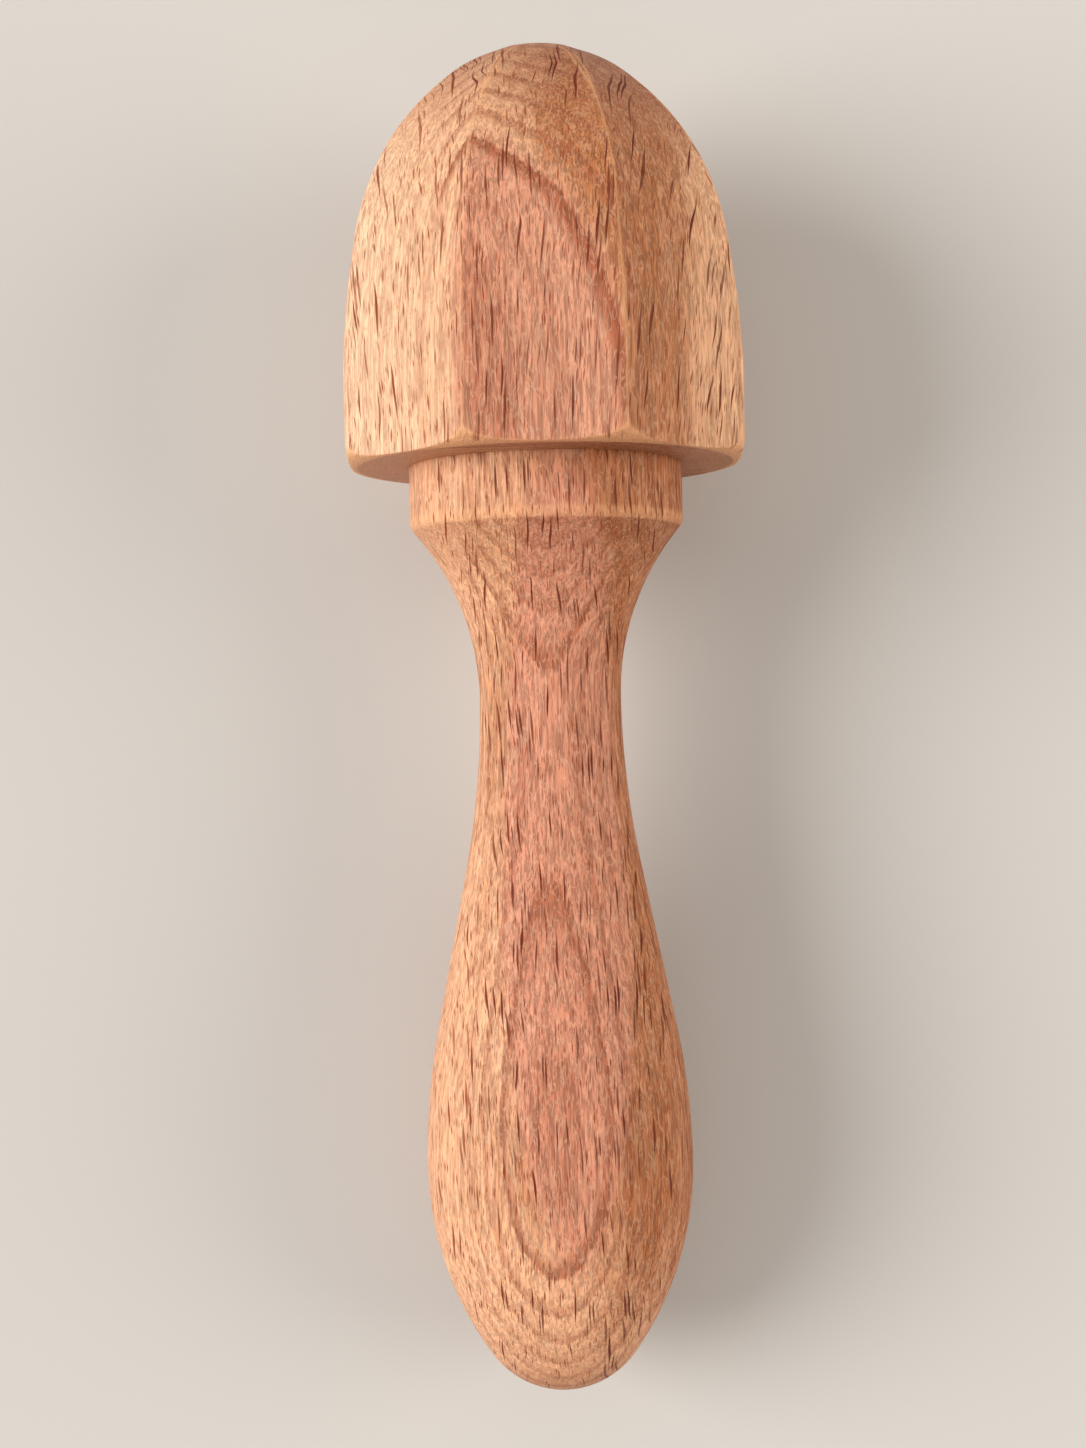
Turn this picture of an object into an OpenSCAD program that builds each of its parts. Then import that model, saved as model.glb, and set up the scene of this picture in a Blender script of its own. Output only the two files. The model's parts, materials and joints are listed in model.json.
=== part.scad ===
// Hand-held citrus reamer of beech: an eight-sided domed reaming head, a turned
// handle, and the hidden fluted dowel that is glued into both.
// The tool is drawn upright, with the underside of its head at height 0, and is
// then laid down the way it rests: on the edge of one wide facet and on its grip.

/* [Reaming head] */
// Distance across two opposite wide facets
head_across = 48; // [42:0.5:58]
// Height of the head from its underside to its tip
head_h = 51.7; // [46:0.1:62]
// Height of the straight sides below the dome
head_straight = 11; // [6:0.5:16]
// Width of each planed corner facet
corner_facet_w = 20.6; // [17:0.2:23]
// Radius of each facet where the facets meet over the tip
tip_r = 16; // [13:0.5:17]
// Lean of the dome where its side arc ends
side_lean = 10.5; // [8:0.5:14]
// Lean of the dome where its shoulder arc ends
shoulder_lean = 52; // [48:0.5:56]
// Radius of the turned crown that rounds the ridges off at the tip
crown_r = 18.4; // [17.4:0.2:22]
// How far above the turned crown the facets would meet
crown_drop = 0.1; // [0.05:0.01:0.3]
// How far the turned blank stands outside the head's corners
blank_spare = 2.4; // [1.6:0.1:4]
// Radius that is turned on the head's lower corners
rim_r = 2.8; // [1.5:0.1:4]
// How far outside the corners that radius would come upright
rim_spare = 0.15; // [0.05:0.05:0.5]

/* [Handle] */
// Length of the handle below the head
handle_len = 114; // [103:0.5:140]
// Diameter of the collar under the head
collar_d = 33.8; // [28:0.2:40]
// Height of the collar, down to where its corner would be if it were sharp
collar_h = 7.4; // [5:0.1:10]
// Radius that softens the collar's lower corner
collar_round_r = 1.8; // [0.6:0.1:2.4]
// Diameter of the neck
neck_d = 17.6; // [16:0.2:22]
// Depth of the neck's narrowest place below the head
neck_at = 28.6; // [25:0.2:34]
// Diameter of the grip at its fullest place
grip_d = 32.9; // [27:0.1:38]
// Depth of the grip's fullest place below the head
grip_at = 86; // [76:0.5:92]
// How much of the flank is curved: 0 is a straight cone, 1 is all curve
flank_curve = 0.47; // [0.25:0.01:0.8]
// Share of that curve that hollows the neck, while the rest rounds the grip
neck_share = 0.56; // [0.4:0.01:0.7]
// Radius of the handle's rounded end at the axis
end_r = 11.1; // [8:0.1:12]

/* [Dowel joint] */
// Diameter of the dowel
dowel_d = 10; // [8:0.5:11]
// Length of the dowel that is glued into the handle
dowel_in_handle = 20; // [14:0.5:24]
// Length of the dowel that is glued into the head
dowel_in_head = 20; // [14:0.5:26]
// Chamfer at both ends of the dowel
dowel_chamfer = 1; // [0.5:0.1:1.5]
// Number of glue flutes along the dowel
flutes = 14; // [8:1:18]
// Radius of each glue flute
flute_r = 0.5; // [0.3:0.05:0.6]
// Room for glue between the dowel and the wall of a bore
glue_gap = 0.05; // [0.02:0.01:0.15]
// Room left between the dowel's upper end and the end of the head's bore
end_room = 1.5; // [1:0.1:4]

/* [Hidden] */
$fn = 180;
// Cuts run this far past the faces that they open
cut = 1;
// Points along each arc of the handle's outline
arc_steps = 10;
// Angle at which two arcs of the dome's outline cross, and how far they overlap
crossing = 2;
overlap = 0.4;

// Head: wide facets on the sides of a square, corner facets planed off its corners
wide_half = head_across / 2;
corner_half = wide_half * sqrt(2) - corner_facet_w / 2;
corner_r = norm([wide_half, wide_half - corner_facet_w / sqrt(2)]);
blank_r = corner_r + blank_spare;
reach = 2 * blank_r + 2 * cut;
rim_c = [corner_r + rim_spare - rim_r, rim_r];

// Handle: radii, and heights counted upwards from the underside of the head
collar_r = collar_d / 2;
neck_r = neck_d / 2;
grip_r = grip_d / 2;
neck_z = -neck_at;
grip_z = -grip_at;
end_z = -handle_len;

// Flare: one hollow arc, upright at the neck, that meets the collar's sharp corner
flare_in = collar_r - neck_r;
flare_rise = neck_at - collar_h;
flare_r = (flare_in * flare_in + flare_rise * flare_rise) / (2 * flare_in);
flare_c = [neck_r + flare_r, neck_z];

// Collar corner: a small arc that touches the collar and the flare
round_in = flare_c.x - collar_r + collar_round_r;
round_c = [collar_r - collar_round_r, neck_z + sqrt(pow(flare_r + collar_round_r, 2) - round_in * round_in)];
flare_turn = atan2(round_c.y - flare_c.y, round_c.x - flare_c.x);

// Flank: a hollow arc from the neck, a straight cone and a full arc to the grip
flank_out = grip_r - neck_r;
flank_drop = grip_at - neck_at;
flank_lean = (1 + flank_curve) * atan2(flank_out, flank_drop);
flank_r_sum = (flank_drop * sin(flank_lean) - flank_out * cos(flank_lean)) / (1 - cos(flank_lean));
neck_curve_r = neck_share * flank_r_sum;
grip_curve_r = flank_r_sum - neck_curve_r;
neck_c = [neck_r + neck_curve_r, neck_z];
grip_c = [grip_r - grip_curve_r, grip_z];

// Butt: an arc from the grip's fullest place that runs into the rounded end
butt_drop = handle_len - grip_at;
butt_r = (grip_r * grip_r + butt_drop * butt_drop - 2 * butt_drop * end_r) / (2 * (grip_r - end_r));
butt_c = [grip_r - butt_r, grip_z];
end_c = [0, end_z + end_r];
butt_turn = atan2(end_c.y - butt_c.y, end_c.x - butt_c.x);

// Rest: the tool leans on the underside edge of a wide facet and on the butt arc
rest_reach = [wide_half - butt_c.x, grip_at];
lean = atan2(rest_reach.x, rest_reach.y) - asin(butt_r / norm(rest_reach));
rest_top = (head_h - crown_r) * cos(lean) + crown_r;
rest_bottom = end_c.y * cos(lean) - end_r;

// Points along an arc, without its first point
function arc(centre, radius, from, to) = [
    for (step = [1 : arc_steps])
        let (turn = from + (to - from) * step / arc_steps)
            centre + radius * [cos(turn), sin(turn)]
];

// Lays the upright tool on the table, with the middle of its length at the origin
module laid() {
    translate([0, -(rest_top + rest_bottom) / 2, wide_half * cos(lean)])
        rotate([lean - 90, 0, 0])
            children();
}

// Everything inside a circle, and everything below a height on it
module below_arc(centre, radius, from_z) {
    translate(centre)
        circle(radius);
    translate([-reach, -reach])
        square([2 * reach, reach + from_z - overlap]);
}

// Outline of the dome: straight sides, then arcs that cross one another at a small angle
module dome_outline(half, top_r, top_z) {
    // Lean of the outline where each arc begins and ends
    side = [crossing, side_lean];
    shoulder = [side_lean + crossing, shoulder_lean];
    tip = shoulder_lean + crossing;
    // Distance inwards and upwards that the side and the shoulder still have to cover
    inward = half - top_r * cos(tip);
    upward = top_z - head_straight - top_r * (1 - sin(tip));
    side_step = [cos(side[0]) - cos(side[1]), sin(side[1]) - sin(side[0])];
    shoulder_step = [cos(shoulder[0]) - cos(shoulder[1]), sin(shoulder[1]) - sin(shoulder[0])];
    scale_by = side_step.y * shoulder_step.x - side_step.x * shoulder_step.y;
    side_r = (upward * shoulder_step.x - inward * shoulder_step.y) / scale_by;
    shoulder_r = (inward * side_step.y - upward * side_step.x) / scale_by;
    side_c = [half - side_r * cos(side[0]), head_straight - side_r * sin(side[0])];
    side_end = side_c + side_r * [cos(side[1]), sin(side[1])];
    shoulder_c = side_end - shoulder_r * [cos(shoulder[0]), sin(shoulder[0])];
    shoulder_end = shoulder_c + shoulder_r * [cos(shoulder[1]), sin(shoulder[1])];
    intersection() {
        translate([-half, 0])
            square([2 * half, top_z + cut]);
        below_arc(side_c, side_r, head_straight);
        mirror([1, 0, 0])
            below_arc(side_c, side_r, head_straight);
        below_arc(shoulder_c, shoulder_r, side_end.y);
        mirror([1, 0, 0])
            below_arc(shoulder_c, shoulder_r, side_end.y);
        below_arc([0, top_z - top_r], top_r, shoulder_end.y);
    }
}

// Two opposite facets of the head, with the stock between them
module facet_pair(half) {
    rotate([90, 0, 0])
        linear_extrude(height = reach, center = true)
            dome_outline(half, tip_r, head_h + crown_drop);
}

// The turned blank that the facets are cut on, rounded at its lower rim
module turned_blank() {
    rotate_extrude()
        intersection() {
            dome_outline(blank_r, crown_r, head_h);
            polygon(concat(
                [[0, 0], rim_c - [0, rim_r]],
                arc(rim_c, rim_r, -90, 0),
                [[blank_r + cut, rim_r + cut], [blank_r + cut, head_h + cut], [0, head_h + cut]]
            ));
        }
}

// Blind bore for the dowel, with its mouth at height 0
module dowel_bore(low, high) {
    translate([0, 0, low])
        cylinder(h = high - low, d = dowel_d + 2 * glue_gap);
}

module reamer_head() {
    color("burlywood")
        laid()
            difference() {
                intersection() {
                    turned_blank();
                    facet_pair(wide_half);
                    rotate([0, 0, 90])
                        facet_pair(wide_half);
                    rotate([0, 0, 45])
                        facet_pair(corner_half);
                    rotate([0, 0, -45])
                        facet_pair(corner_half);
                }
                dowel_bore(-cut, dowel_in_head + end_room);
            }
}

module handle() {
    color("tan")
        laid()
            difference() {
                rotate_extrude()
                    polygon(concat(
                        [[0, 0], [0, end_z]],
                        arc(end_c, end_r, -90, butt_turn),
                        arc(butt_c, butt_r, butt_turn, 0),
                        arc(grip_c, grip_curve_r, 0, flank_lean),
                        [neck_c - neck_curve_r * [cos(flank_lean), sin(flank_lean)]],
                        arc(neck_c, neck_curve_r, 180 + flank_lean, 180),
                        arc(flare_c, flare_r, 180, flare_turn),
                        arc(round_c, collar_round_r, flare_turn - 180, 0),
                        [[collar_r, 0]]
                    ));
                dowel_bore(-dowel_in_handle, cut);
            }
}

module joint_dowel() {
    dowel_r = dowel_d / 2;
    color("wheat")
        laid()
            difference() {
                rotate_extrude()
                    polygon([
                        [0, -dowel_in_handle],
                        [dowel_r - dowel_chamfer, -dowel_in_handle],
                        [dowel_r, dowel_chamfer - dowel_in_handle],
                        [dowel_r, dowel_in_head - dowel_chamfer],
                        [dowel_r - dowel_chamfer, dowel_in_head],
                        [0, dowel_in_head]
                    ]);
                for (turn = [0 : flutes - 1])
                    rotate([0, 0, 360 * turn / flutes])
                        translate([dowel_r, 0, -dowel_in_handle - cut])
                            cylinder(h = dowel_in_handle + dowel_in_head + 2 * cut, r = flute_r);
            }
}

reamer_head();
handle();
joint_dowel();
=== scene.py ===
import json
import math

import bpy
from mathutils import Euler, Matrix, Vector


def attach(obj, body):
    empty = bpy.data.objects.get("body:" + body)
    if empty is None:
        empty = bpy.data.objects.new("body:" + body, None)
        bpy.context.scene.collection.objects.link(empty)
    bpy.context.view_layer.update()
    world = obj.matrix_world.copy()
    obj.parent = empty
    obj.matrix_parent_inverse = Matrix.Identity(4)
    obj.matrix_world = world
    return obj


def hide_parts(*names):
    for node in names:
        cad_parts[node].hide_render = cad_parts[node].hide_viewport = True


bl_info = {
    "name": "Beech Citrus Reamer",
    "version": (1, 0, 0),
    "blender": (4, 5, 0),
    "location": "3D View > Sidebar > Reamer",
    "description": "Shapes and finishes the reaming head, the handle and the dowel of a beech reamer",
    "category": "Object",
}

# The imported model, and the tool's own axis as its collar mount gives it
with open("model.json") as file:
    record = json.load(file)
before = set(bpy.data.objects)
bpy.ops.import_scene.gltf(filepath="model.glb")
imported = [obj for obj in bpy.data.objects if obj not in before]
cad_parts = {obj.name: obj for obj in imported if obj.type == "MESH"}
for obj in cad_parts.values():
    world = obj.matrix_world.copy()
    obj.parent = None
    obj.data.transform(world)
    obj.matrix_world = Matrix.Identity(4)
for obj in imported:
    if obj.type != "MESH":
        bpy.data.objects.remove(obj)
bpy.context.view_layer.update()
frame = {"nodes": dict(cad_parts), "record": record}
MM = 0.001
COLLAR = next(m for m in frame["record"]["mounts"] if m["name"] == "collar")
TOWARDS_TIP = -Vector(COLLAR["axis"])
UNDERSIDE = Vector(COLLAR["pos_m"]) + TOWARDS_TIP * COLLAR["dims"]["length_mm"] * MM / 2
LEAN = math.atan2(TOWARDS_TIP.z, TOWARDS_TIP.y)
# Turns the upright tool, whose head points up, into the place where it lies
LAID = Matrix.Translation(UNDERSIDE) @ Matrix.Rotation(LEAN - math.pi / 2, 4, "X")

HEAD, HANDLE, DOWEL = "reamer_head", "handle", "joint_dowel"
# Height of the photograph in pixels
PHOTO_HEIGHT = 1448


# Properties

def size(label, words, default):
    """A length of the tool, given in millimetres and kept in metres."""
    return bpy.props.FloatProperty(
        name=label, description=words, default=default * MM, min=0, unit="LENGTH", precision=5
    )


def share(label, words, default):
    """A part of a whole, from 0 to 1."""
    return bpy.props.FloatProperty(name=label, description=words, default=default, min=0, max=1)


def strength(label, words, default):
    return bpy.props.FloatProperty(name=label, description=words, default=default, min=0)


def angle(label, words, degrees):
    return bpy.props.FloatProperty(
        name=label, description=words, default=math.radians(degrees), subtype="ANGLE"
    )


def count(label, words, default):
    return bpy.props.IntProperty(name=label, description=words, default=default, min=3)


def srgb(red, green, blue):
    """A colour as a picture shows it, from 0 to 255, as the linear values that a shader takes."""
    def linear(v):
        v /= 255
        return v / 12.92 if v <= 0.04045 else ((v + 0.055) / 1.055) ** 2.4
    return linear(red), linear(green), linear(blue)


def colour(label, words, red, green, blue):
    return bpy.props.FloatVectorProperty(
        name=label, description=words, default=srgb(red, green, blue), subtype="COLOR", min=0, max=1
    )


class ReamerHeadSizes(bpy.types.PropertyGroup):
    """Sizes of the eight-sided reaming head."""
    across: size("Across facets", "Distance across two opposite wide facets", 48)
    height: size("Height", "From the underside to the tip", 51.7)
    straight: size("Straight sides", "Height of the sides below the dome", 11)
    corner_facet: size("Corner facet", "Width of each planed corner facet", 20.6)
    tip_radius: size("Tip radius", "Radius of the facets over the tip", 16)
    crown_radius: size("Crown radius", "Radius of the turned crown at the tip", 18.4)
    crown_drop: size("Crown drop", "How far above the crown the facets would meet", 0.1)
    blank_spare: size("Blank spare", "How far the turned blank stands outside the corners", 2.4)
    rim_radius: size("Rim radius", "Radius turned on the lower corners", 2.8)
    rim_spare: size("Rim spare", "How far outside the corners that radius comes upright", 0.15)
    side_lean: angle("Side lean", "Lean of the dome where its side arc ends", 10.5)
    shoulder_lean: angle("Shoulder lean", "Lean of the dome where its shoulder arc ends", 52)
    crossing: angle("Crossing", "Angle at which two arcs of the dome cross", 2)
    around: count("Points around", "Points in each ring of the mesh", 400)
    sharpness: bpy.props.FloatProperty(
        name="Ridge sharpness", description="How crisply two facets meet", default=240, min=8, max=400
    )
    crowding: share("Crowding", "How closely points crowd at the ridges", 0.8)
    waviness: size("Waviness", "How far sanding has worn the facets uneven", 0.07)


class ReamerHandleSizes(bpy.types.PropertyGroup):
    """Sizes of the turned handle."""
    length: size("Length", "From the head's underside to the rounded end", 114)
    collar: size("Collar", "Diameter of the collar", 2 * COLLAR["dims"]["r_mm"])
    collar_height: size("Collar height", "Down to where its corner would be if it were sharp", 7.4)
    collar_round: size("Collar rounding", "Radius of the collar's lower corner", 1.8)
    neck: size("Neck", "Diameter of the neck", 17.6)
    neck_at: size("Neck depth", "Depth of the narrowest place below the head", 28.6)
    grip: size("Grip", "Diameter of the grip at its fullest place", 32.9)
    grip_at: size("Grip depth", "Depth of the fullest place below the head", 86)
    flank_curve: share("Flank curve", "0 is a straight cone, 1 is all curve", 0.47)
    neck_share: share("Neck share", "Share of the flank's curve that hollows the neck", 0.56)
    end_radius: size("End radius", "Radius of the rounded end at the axis", 11.1)
    around: count("Points around", "Points in each ring of the mesh", 224)
    waviness: size("Waviness", "How far turning and sanding have left the surface uneven", 0.06)


class ReamerDowelSizes(bpy.types.PropertyGroup):
    """Sizes of the glued joint inside the tool."""
    bore: size("Bore", "Diameter of both bores", 10.1)
    in_handle: size("Depth in handle", "Depth of the handle's bore", 20)
    in_head: size("Depth in head", "Depth of the head's bore", 21.5)


class ReamerBeech(bpy.types.PropertyGroup):
    """Colours of the steamed beech, and of a painted highlight on its edges."""
    pale: colour("Pale wood", "Lightest ground of the wood", 234, 179, 138)
    deep: colour("Deep wood", "Darkest ground of the wood", 180, 113, 69)
    ring: colour("Growth ring", "Dense wood at the end of a year's growth", 165, 91, 60)
    heart: colour("Heart stain", "Pinkish wood towards the heart", 212, 146, 116)
    fleck: colour("Ray fleck", "Core of a large ray fleck", 108, 34, 10)
    small_fleck: colour("Small fleck", "Small ray flecks", 155, 72, 35)
    fibre: colour("Fibre", "Pale fibres that catch the light", 254, 212, 177)
    # Colour of the painted highlight on the ridges and turned edges
    edge: colour("Sanded edge", "Wood burnished on an edge", 251, 186, 134)
    end_grain: colour("End grain", "Tint where a surface cuts across the grain", 214, 190, 173)


class ReamerStage(bpy.types.PropertyGroup):
    """Floor, lamps and camera."""
    floor: colour("Floor", "Plain pale floor", 208, 206, 202)
    left: strength("Left light", "Power of the left light", 2.75)
    right: strength("Right light", "Power of the right light", 1.4)
    softness: angle("Softness", "How wide each light looks from the tool", 38)
    sky: share("Sky", "Strength of the even light from all round", 0.45)


# Node trees

class Wiring:
    """Adds nodes to a tree. A value may be a number, a vector or another node's socket."""

    def __init__(self, tree):
        self.tree = tree

    def feed(self, socket, value):
        if isinstance(value, bpy.types.NodeSocket):
            self.tree.links.new(value, socket)
        elif value is not None:
            socket.default_value = value

    def add(self, kind, inputs=(), **settings):
        """A node of that kind. inputs gives the values of sockets by name or by number."""
        node = self.tree.nodes.new(kind)
        for name, value in settings.items():
            setattr(node, name, value)
        for key, value in dict(inputs).items():
            self.feed(node.inputs[key], value)
        return node

    def math(self, operation, *values, clamp=False):
        node = self.add("ShaderNodeMath", enumerate(values), operation=operation, use_clamp=clamp)
        return node.outputs[0]

    def vector(self, operation, *values):
        node = self.add("ShaderNodeVectorMath", enumerate(values), operation=operation)
        return node.outputs["Value" if operation == "LENGTH" else "Vector"]

    def scaled(self, vector, x, y, z):
        return self.vector("MULTIPLY", vector, (x, y, z))

    def split(self, vector):
        return self.add("ShaderNodeSeparateXYZ", {0: vector}).outputs

    def join(self, x, y, z):
        return self.add("ShaderNodeCombineXYZ", {0: x, 1: y, 2: z}).outputs[0]

    def ease(self, value, low, high, start=0.0, end=1.0):
        """start below low, end above high, and a smooth step between them."""
        inputs = {"Value": value, "From Min": low, "From Max": high, "To Min": start, "To Max": end}
        return self.add("ShaderNodeMapRange", inputs, interpolation_type="SMOOTHSTEP").outputs[0]

    def fade(self, value, low, high):
        """1 below low, 0 above high, and a smooth step between them."""
        return self.ease(value, low, high, 1.0, 0.0)

    def mix(self, share_of_second, first, second):
        """A number between two others."""
        return self.add("ShaderNodeMix", {0: share_of_second, 2: first, 3: second}).outputs[0]

    def blend(self, share_of_second, first, second, kind="MIX"):
        """A colour between two others, or the two laid over each other in another way."""
        node = self.add("ShaderNodeMix", data_type="RGBA", blend_type=kind)
        self.feed(node.inputs[0], share_of_second)
        self.feed(node.inputs[6], first)
        self.feed(node.inputs[7], second)
        return node.outputs[2]

    def noise(self, vector, detail=2.0, roughness=0.5, distortion=0.0):
        inputs = {"Vector": vector, "Scale": 1.0, "Detail": detail,
                  "Roughness": roughness, "Distortion": distortion}
        return self.add("ShaderNodeTexNoise", inputs)


def add_sockets(tree, direction, sockets):
    """Named inputs or outputs of a tree, each with its kind and, for a number, its default."""
    for name, (kind, default) in sockets.items():
        socket = tree.interface.new_socket(name=name, in_out=direction, socket_type=kind)
        if default is not None:
            socket.default_value = default


FLOAT, VECTOR, COLOR = "NodeSocketFloat", "NodeSocketVector", "NodeSocketColor"
INTEGER, GEOMETRY, MATERIAL = "NodeSocketInt", "NodeSocketGeometry", "NodeSocketMaterial"


def new_group(name, kind, inputs, outputs):
    """A tree with named inputs and outputs, its wiring, and the nodes at its two ends."""
    tree = bpy.data.node_groups.new(name, kind)
    add_sockets(tree, "INPUT", inputs)
    add_sockets(tree, "OUTPUT", outputs)
    wiring = Wiring(tree)
    return tree, wiring, wiring.add("NodeGroupInput").outputs, wiring.add("NodeGroupOutput").inputs


# Shape: rings of points that a turned blank and flat facets trim

# Flat facets round the head
FACETS = 8
# Points closer together than this are merged, at the seam and at the poles
SEAM = 0.002 * MM
# How strongly a painted highlight lies on the turned edges, where 1 is as strong as on a ridge between
# two facets
RIM_HIGHLIGHT = 0.9
COLLAR_HIGHLIGHT = 0.55
# Distance between two rings in a bore, and the number of rings that close its flat end
BORE_STEP = 2 * MM
BORE_END_RINGS = 3


def ring_tree():
    """Geometry Nodes: turns a line of ring levels into a turned piece, trimmed to eight facets."""
    tree, w, given, result = new_group(
        "turned_and_faceted", "GeometryNodeTree",
        {
            "Levels": (GEOMETRY, None),
            "Points Around": (INTEGER, 64),
            "Ridge Sharpness": (FLOAT, 100.0),
            "Crowding": (FLOAT, 0.0),
            "Waviness": (FLOAT, 0.0),
            "Wave Length": (FLOAT, 0.02),
            "Seed": (FLOAT, 0.0),
            "Place": (VECTOR, (0, 0, 0)),
            "Turn": (VECTOR, (0, 0, 0)),
            "Wood": (MATERIAL, None),
        },
        {"Piece": (GEOMETRY, None)},
    )
    line_size = w.add("GeometryNodeAttributeDomainSize", {"Geometry": given["Levels"]})
    levels = line_size.outputs["Point Count"]
    # The last column closes the ring, so there is one more than there are points
    columns = w.math("ADD", given["Points Around"], 1)
    grid = w.add("GeometryNodeMeshGrid", {"Vertices X": columns, "Vertices Y": levels}).outputs["Mesh"]
    index = w.add("GeometryNodeInputIndex").outputs[0]
    # The half keeps a rounding error from moving a point to the column before
    column = w.math("FLOOR", w.math("DIVIDE", w.math("ADD", index, 0.5), levels))
    level = w.math("SUBTRACT", index, w.math("MULTIPLY", column, levels))

    def at_level(name):
        named = w.add("GeometryNodeInputNamedAttribute", {"Name": name}, data_type="FLOAT")
        sample = w.add("GeometryNodeSampleIndex", {"Geometry": given["Levels"]}, data_type="FLOAT")
        w.feed(sample.inputs["Value"], named.outputs["Attribute"])
        w.feed(sample.inputs["Index"], level)
        return sample.outputs["Value"]

    # Points crowd together at the ridges, which lie between the eight facets
    even = w.math("DIVIDE", w.math("MULTIPLY", column, math.tau), given["Points Around"])
    shift = w.math("DIVIDE", w.math("SINE", w.math("MULTIPLY", even, FACETS)), FACETS)
    turn = w.math("MULTIPLY_ADD", shift, given["Crowding"], even)
    cosine, sine = w.math("COSINE", turn), w.math("SINE", turn)
    across, along = w.math("ABSOLUTE", cosine), w.math("ABSOLUTE", sine)
    facing_wide = w.math("MAXIMUM", across, along)
    facing_corner = w.math("DIVIDE", w.math("ADD", across, along), math.sqrt(2))

    # A high power of the three closenesses rounds the edges where they meet
    near = [
        w.math("DIVIDE", 1.0, at_level("turned")),
        w.math("DIVIDE", facing_wide, at_level("wide")),
        w.math("DIVIDE", facing_corner, at_level("corner")),
    ]
    nearest = w.math("MAXIMUM", w.math("MAXIMUM", near[0], near[1]), near[2])
    powers = [w.math("POWER", w.math("DIVIDE", n, nearest), given["Ridge Sharpness"]) for n in near]
    total = w.math("ADD", w.math("ADD", powers[0], powers[1]), powers[2])
    rounding = w.math("POWER", total, w.math("DIVIDE", 1.0, given["Ridge Sharpness"]))
    radius = w.math("DIVIDE", w.math("DIVIDE", 1.0, nearest), rounding)
    # 0 on a facet, 1 where two of them meet
    ridge = w.math("SUBTRACT", total, 1.0, clamp=True)

    # Sanding takes a little off, and never adds
    height = at_level("height")
    upright = w.join(w.math("MULTIPLY", radius, cosine), w.math("MULTIPLY", radius, sine), height)
    seeded = w.vector("ADD", upright, w.join(given["Seed"], 0.0, 0.0))
    wave = given["Wave Length"]
    field = w.noise(w.vector("DIVIDE", seeded, w.join(wave, wave, wave)), detail=1.0)
    worn = w.math("MULTIPLY", field.outputs[0], given["Waviness"])
    worn = w.math("MULTIPLY", worn, at_level("skin"))
    kept = w.math("SUBTRACT", radius, worn)
    place = w.join(w.math("MULTIPLY", kept, cosine), w.math("MULTIPLY", kept, sine), height)

    shaped = w.add("GeometryNodeSetPosition", {"Geometry": grid, "Position": place}).outputs[0]
    # Of a level's painted edge highlight, only the turned part counts, and not the facets that cut
    # into it
    turned_highlight = w.math("MULTIPLY", at_level("edge"), powers[0])
    # 1 where the surface cuts across the grain, 0 where it runs along it
    end_grain = w.math("ABSOLUTE", w.split(w.add("GeometryNodeInputNormal").outputs[0])[2])
    # The mask of the painted highlight: ridges and turned edges
    edge = w.math("MAXIMUM", ridge, turned_highlight)
    for name, value in (("edge", edge), ("end_grain", end_grain)):
        inputs = {"Geometry": shaped, "Name": name}
        store = w.add("GeometryNodeStoreNamedAttribute", inputs, data_type="FLOAT")
        w.feed(store.inputs["Value"], value)
        shaped = store.outputs[0]
    merged = w.add("GeometryNodeMergeByDistance", {"Geometry": shaped, "Distance": SEAM})
    closed = merged.outputs[0]
    laid = w.add("GeometryNodeTransform", {"Geometry": closed, "Translation": given["Place"]})
    w.feed(laid.inputs["Rotation"], given["Turn"])
    smooth = w.add("GeometryNodeSetShadeSmooth", {"Geometry": laid.outputs[0]}).outputs[0]
    real = w.add("GeometryNodeRealizeInstances", {"Geometry": smooth}).outputs[0]
    wooden = w.add("GeometryNodeSetMaterial", {"Geometry": real, "Material": given["Wood"]})
    w.feed(result["Piece"], wooden.outputs[0])
    return tree


class Level:
    """One ring of a piece: its height, the radius it is turned to, and the reach of the two facets.

    skin is how much of the wear of sanding it takes, and edge how strongly a painted highlight lies on
    it, from 0 to 1.
    """

    # A facet that is this far out trims nothing
    CLEAR = 1.0
    # Smallest radius of a ring, which then closes into a pole
    POLE = 1e-7

    def __init__(self, height, turned, wide=CLEAR, corner=CLEAR, skin=1.0, edge=0.0):
        self.height = height
        self.turned = max(turned, self.POLE)
        self.wide = max(wide, self.POLE)
        self.corner = max(corner, self.POLE)
        self.skin = skin
        self.edge = edge


def level_line(levels):
    """The levels as a mesh of points in a line, with their values as attributes."""
    mesh = bpy.data.meshes.new("levels")
    points = [(v.turned, 0, v.height) for v in levels]
    links = [(i, i + 1) for i in range(len(levels) - 1)]
    mesh.from_pydata(points, links, [])
    for name in ("height", "turned", "wide", "corner", "skin", "edge"):
        values = mesh.attributes.new(name, "FLOAT", "POINT")
        values.data.foreach_set("value", [getattr(v, name) for v in levels])
    return mesh


def turned_piece(name, levels, wood, node, slot, **values):
    """Runs the ring tree on the levels, keeps its result as a plain mesh and fits it to the frame."""
    maker = bpy.data.objects.new(name, level_line(levels))
    bpy.context.scene.collection.objects.link(maker)
    modifier = maker.modifiers.new("Rings", "NODES")
    modifier.node_group = bpy.data.node_groups.get("turned_and_faceted") or ring_tree()
    sockets = {s.name: s.identifier for s in modifier.node_group.interface.items_tree}
    turn = Euler((LEAN - math.pi / 2, 0, 0))
    inputs = {"Place": tuple(UNDERSIDE), "Turn": tuple(turn), "Wood": wood, **values}
    for label, value in inputs.items():
        modifier[sockets[label]] = value
    evaluated = maker.evaluated_get(bpy.context.evaluated_depsgraph_get())
    mesh = bpy.data.meshes.new_from_object(evaluated)
    maker.modifiers.remove(modifier)
    line = maker.data
    maker.data = mesh
    mesh.name = name
    bpy.data.meshes.remove(line)
    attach(maker, "root")
    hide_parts(node)
    return maker


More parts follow.
